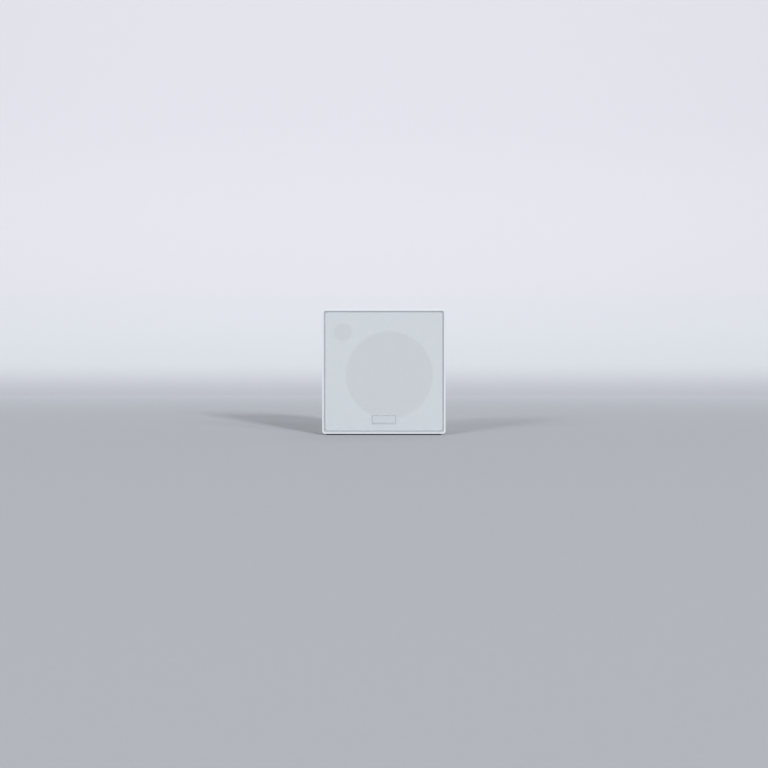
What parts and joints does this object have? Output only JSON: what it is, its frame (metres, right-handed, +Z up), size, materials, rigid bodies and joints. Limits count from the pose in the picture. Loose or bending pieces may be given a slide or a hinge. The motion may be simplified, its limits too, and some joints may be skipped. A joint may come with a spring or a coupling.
{
  "type": "surface-mount speaker",
  "caption": "Square two-way surface-mount speaker with a cloth grille set inside a thin rim, an offset woofer, a corner tweeter and a recessed rear connector.",
  "frame": {"origin": "on the surface the speaker stands on, under the middle of the cabinet", "axes": "front faces -Y, +X to the right as seen from the front, +Z up"},
  "size_m": [0.2084, 0.11, 0.2125],
  "materials": {
    "shell_white": "satin",
    "grille_cloth": "fine woven",
    "badge": "satin",
    "rubber": "matte",
    "grille_board": "painted",
    "black_plastic": "fine grain",
    "black_steel": "satin",
    "bright_steel": "zinc plated",
    "ferrite": "matte",
    "neodymium": "nickel plated",
    "cone_paper": "coated",
    "spider_cloth": "treated",
    "dome_silk": "coated",
    "copper_wire": "enamelled",
    "brass": "turned",
    "former_film": "film",
    "circuit_board": "lacquered",
    "capacitor_film": "gloss",
    "resistor_cement": "matte",
    "wire_red": "flexible",
    "wire_black": "flexible",
    "wire_blue": "flexible",
    "felt": "felt"
  },
  "bodies": {
    "speaker": {"cabinet": "shell_white", "feet": "rubber", "threaded_inserts": "brass", "grille_cloth": "grille_cloth", "grille_board": "grille_board", "grille_pegs": "black_plastic", "peg_sockets": "rubber", "badge": "badge", "baffle": "shell_white", "baffle_gasket": "rubber", "baffle_screws": "black_steel", "woofer_basket": "black_steel", "woofer_gasket": "rubber", "woofer_surround": "rubber", "woofer_spider": "spider_cloth", "woofer_top_plate": "bright_steel", "woofer_magnet": "ferrite", "woofer_yoke": "bright_steel", "woofer_terminals": "brass", "woofer_tinsel_leads": "copper_wire", "woofer_screws": "black_steel", "tweeter_flange": "black_plastic", "tweeter_surround": "dome_silk", "tweeter_pole_cap": "bright_steel", "tweeter_magnet": "neodymium", "tweeter_cup": "bright_steel", "tweeter_terminals": "brass", "tweeter_screws": "black_steel", "terminal_cup": "black_plastic", "terminal_gasket": "rubber", "terminal_screws": "bright_steel", "connector_header": "black_plastic", "connector_pins": "brass", "crossover_board": "circuit_board", "crossover_standoff_screws": "bright_steel", "inductors": "copper_wire", "capacitors": "capacitor_film", "resistor": "resistor_cement", "input_wires": "wire_red", "woofer_wires": "wire_black", "tweeter_wires": "wire_blue", "damping_pad": "felt"},
    "woofer_cone_assembly": {"woofer_cone": "cone_paper", "woofer_dust_cap": "cone_paper", "woofer_former": "former_film", "woofer_voice_coil": "copper_wire"},
    "tweeter_dome_assembly": {"tweeter_dome": "dome_silk", "tweeter_coil": "copper_wire"}
  },
  "joints": [
    {"name": "woofer_cone_travel", "type": "slide", "parent": "speaker", "child": "woofer_cone_assembly", "axis": [0, -1, 0], "range_m": [-0.004, 0.004], "stiffness_N_per_m": 1200, "deforming": ["woofer_surround", "woofer_spider", "woofer_tinsel_leads"]},
    {"name": "tweeter_dome_travel", "type": "slide", "parent": "speaker", "child": "tweeter_dome_assembly", "axis": [0, -1, 0], "range_m": [-0.0003, 0.0003], "stiffness_N_per_m": 300, "deforming": ["tweeter_surround"]}
  ]
}
